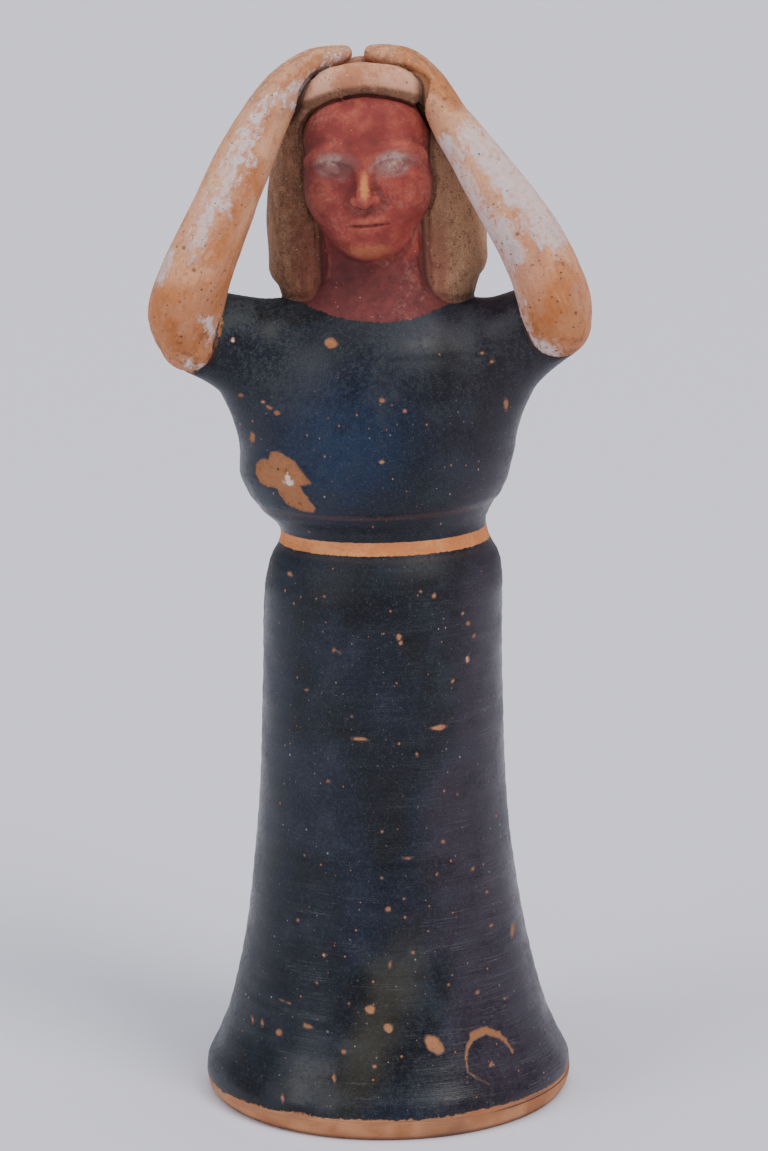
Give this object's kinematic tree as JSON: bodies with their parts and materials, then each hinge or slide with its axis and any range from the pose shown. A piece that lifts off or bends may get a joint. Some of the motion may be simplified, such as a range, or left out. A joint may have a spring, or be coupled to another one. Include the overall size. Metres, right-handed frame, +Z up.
{
  "type": "terracotta figurine",
  "caption": "Hollow fired-clay figurine of a standing mourning woman, hands laid on her head, in a long flaring dark dress with a plain belt.",
  "frame": {"origin": "middle of the plan at the level of the underside of the foot", "axes": "+Z up along the figure's turning axis, front towards -Y, the figure's left arm on +X"},
  "size_m": [0.1065, 0.092, 0.2603],
  "materials": {
    "glazed_clay": "soft semi-gloss dark slip with bare tan clay, worn matte paint and chips"
  },
  "bodies": {
    "root": {"mourner_figurine": "glazed_clay"}
  },
  "joints": []
}
